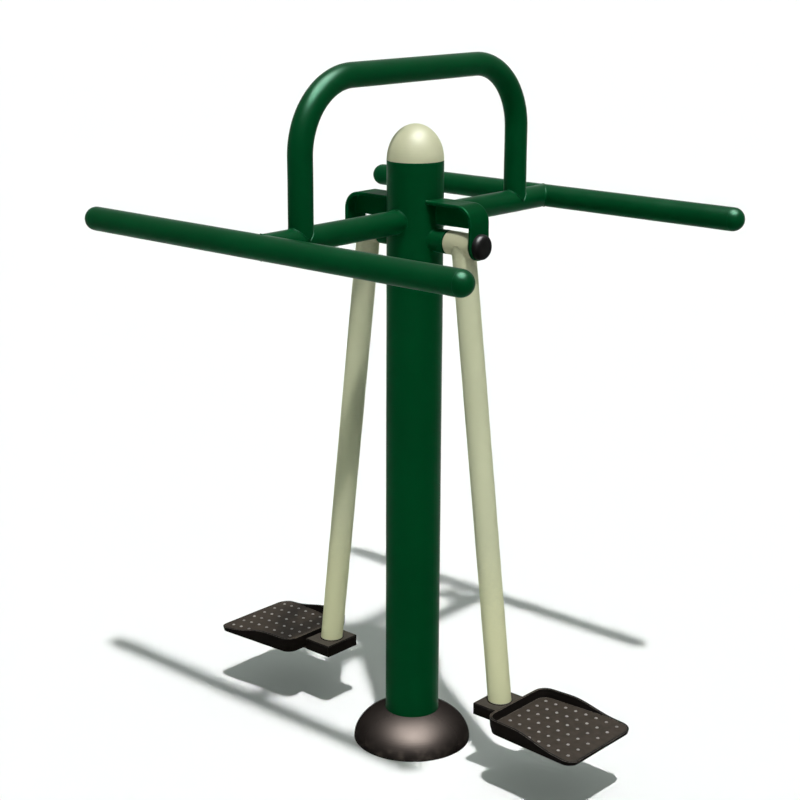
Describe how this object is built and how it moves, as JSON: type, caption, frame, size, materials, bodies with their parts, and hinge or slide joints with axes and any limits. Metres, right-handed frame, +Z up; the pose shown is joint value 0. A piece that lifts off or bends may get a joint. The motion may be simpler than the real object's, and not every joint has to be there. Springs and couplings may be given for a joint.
{
  "type": "outdoor air walker",
  "caption": "Outdoor walking trainer: post with two long handlebars, an arched upper handle and two hanging legs that swing on ball bearings and carry studded footplates.",
  "frame": {"origin": "on the floor, on the post's axis, in the plane of the anchor flange's underside", "axes": "+Z up along the post; X along the handlebars and along the pivot axis; Y along the cross arms, the direction in which the legs swing"},
  "size_m": [0.9946, 0.8998, 1.449],
  "materials": {
    "green_paint": "gloss powder coat on steel",
    "cream_paint": "satin powder coat on steel",
    "cream_plastic": "satin moulded",
    "brown_paint": "gloss paint on steel",
    "cast_brown": "painted casting with worn studs",
    "black_plastic": "gloss moulded",
    "zinc_steel": "zinc plated",
    "bearing_steel": "ground and polished",
    "seal_rubber": "matte"
  },
  "bodies": {
    "frame": {"base_flange": "green_paint", "base_gussets": "green_paint", "base_cover": "brown_paint", "post": "green_paint", "post_cap": "cream_plastic", "front_cross_arm": "green_paint", "rear_cross_arm": "green_paint", "front_handlebar": "green_paint", "rear_handlebar": "green_paint", "front_bar_ends": "green_paint", "rear_bar_ends": "green_paint", "upper_handle": "green_paint", "left_bracket_strip": "green_paint", "right_bracket_strip": "green_paint", "left_bracket_web": "green_paint", "right_bracket_web": "green_paint", "left_axle_boss": "green_paint", "right_axle_boss": "green_paint", "pivot_axle": "zinc_steel", "axle_end_washers": "zinc_steel", "axle_end_screws": "zinc_steel", "left_shaft_cap": "black_plastic", "right_shaft_cap": "black_plastic", "left_axle_spacers": "zinc_steel", "right_axle_spacers": "zinc_steel", "left_bearing_inner_rings": "bearing_steel", "right_bearing_inner_rings": "bearing_steel"},
    "left_leg": {"left_hub": "cream_paint", "left_bearing_outer_rings": "bearing_steel", "left_bearing_balls": "bearing_steel", "left_bearing_cages": "black_plastic", "left_bearing_seals": "seal_rubber", "left_hub_circlips": "zinc_steel", "left_leg_tube": "cream_paint", "left_foot_block": "brown_paint", "left_carrier_plate": "brown_paint", "left_footplate": "cast_brown", "left_footplate_bolts": "zinc_steel", "left_footplate_washers": "zinc_steel"},
    "right_leg": {"right_hub": "cream_paint", "right_bearing_outer_rings": "bearing_steel", "right_bearing_balls": "bearing_steel", "right_bearing_cages": "black_plastic", "right_bearing_seals": "seal_rubber", "right_hub_circlips": "zinc_steel", "right_leg_tube": "cream_paint", "right_foot_block": "brown_paint", "right_carrier_plate": "brown_paint", "right_footplate": "cast_brown", "right_footplate_bolts": "zinc_steel", "right_footplate_washers": "zinc_steel"}
  },
  "joints": [
    {"name": "left_leg_swing", "type": "hinge", "parent": "frame", "child": "left_leg", "pos_m": [-0.122, 0, 1.095], "axis": [1, 0, 0], "range_deg": [-50, 50]},
    {"name": "right_leg_swing", "type": "hinge", "parent": "frame", "child": "right_leg", "pos_m": [0.122, 0, 1.095], "axis": [1, 0, 0], "range_deg": [-50, 50]}
  ]
}
